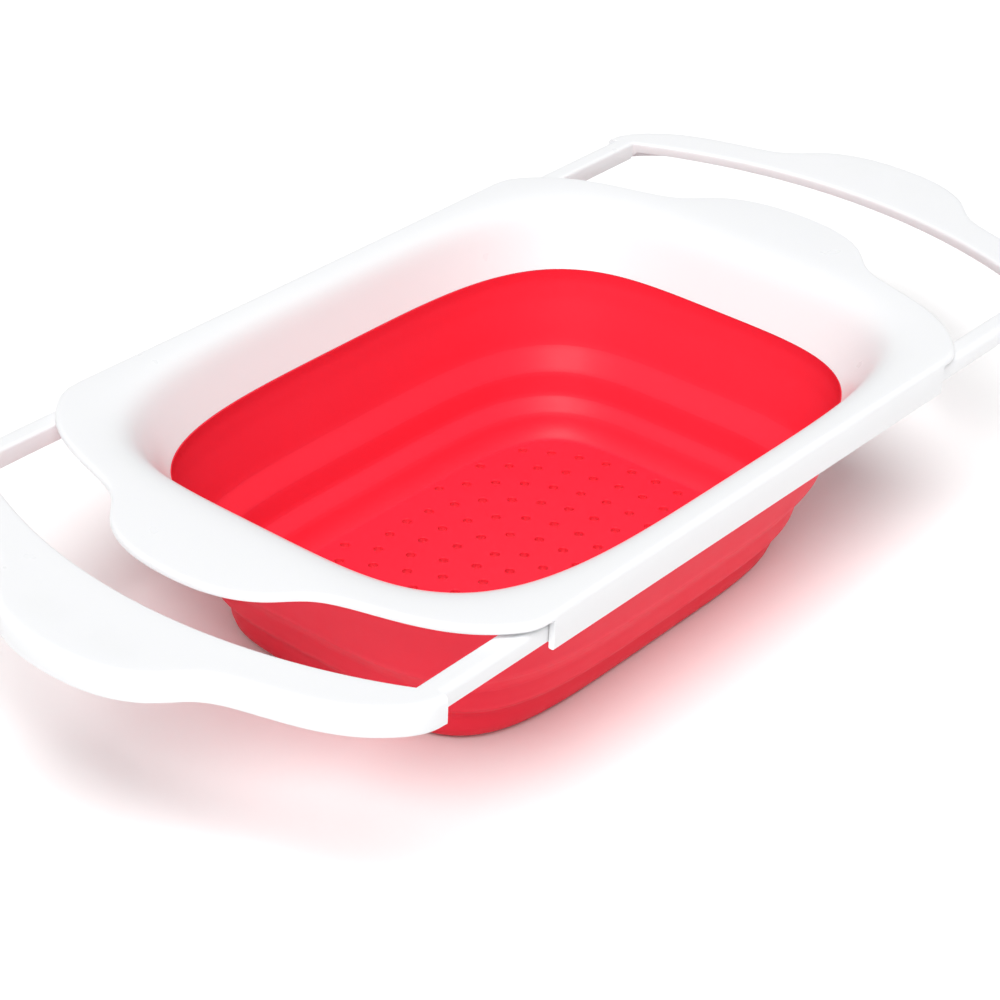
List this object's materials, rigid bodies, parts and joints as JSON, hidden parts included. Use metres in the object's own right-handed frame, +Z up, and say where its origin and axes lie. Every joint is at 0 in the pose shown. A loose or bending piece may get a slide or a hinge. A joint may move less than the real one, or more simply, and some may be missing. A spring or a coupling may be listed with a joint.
{
  "type": "over-the-sink collapsible colander",
  "caption": "Over-the-sink colander: white plastic frame with pull-out arms ending in grips, and a red silicone bowl with a perforated floor that folds up into the frame.",
  "frame": {"origin": "middle of the flat underside of the bowl, where the colander rests", "axes": "+X along the object towards the right arm, +Y across it towards the rear, +Z up"},
  "size_m": [0.5026, 0.2242, 0.092],
  "materials": {
    "white_plastic": "smooth moulded, soft gloss",
    "cover_plastic": "fine matt",
    "screw_steel": "zinc plated",
    "red_silicone": "smooth satin silicone",
    "pad_rubber": "soft matt"
  },
  "bodies": {
    "frame": {"frame_top": "white_plastic", "front_channel_cover": "cover_plastic", "rear_channel_cover": "cover_plastic", "front_channel_screws": "screw_steel", "rear_channel_screws": "screw_steel", "bowl_lip_bead": "red_silicone", "bowl_upper_wall": "red_silicone", "bowl_upper_fold": "red_silicone"},
    "left_arm": {"left_arm": "white_plastic", "left_rest_pads": "pad_rubber", "left_front_rail_stop": "cover_plastic", "left_rear_rail_stop": "cover_plastic"},
    "right_arm": {"right_arm": "white_plastic", "right_rest_pads": "pad_rubber", "right_front_rail_stop": "cover_plastic", "right_rear_rail_stop": "cover_plastic"},
    "bowl_middle": {"bowl_middle_wall": "red_silicone", "bowl_lower_fold": "red_silicone"},
    "bowl_base": {"bowl_heel": "red_silicone", "bowl_floor": "red_silicone"}
  },
  "joints": [
    {"name": "left_arm_slide", "type": "slide", "parent": "frame", "child": "left_arm", "axis": [-1, 0, 0], "range_m": [-0.052, 0.04]},
    {"name": "right_arm_slide", "type": "slide", "parent": "frame", "child": "right_arm", "axis": [1, 0, 0], "range_m": [-0.08, 0.012]},
    {"name": "upper_fold_lift", "type": "slide", "parent": "frame", "child": "bowl_middle", "axis": [0, 0, 1], "range_m": [0, 0.017], "deforming": ["bowl_upper_fold"]},
    {"name": "lower_fold_lift", "type": "slide", "parent": "bowl_middle", "child": "bowl_base", "axis": [0, 0, 1], "range_m": [0, 0.017], "deforming": ["bowl_lower_fold"]}
  ]
}
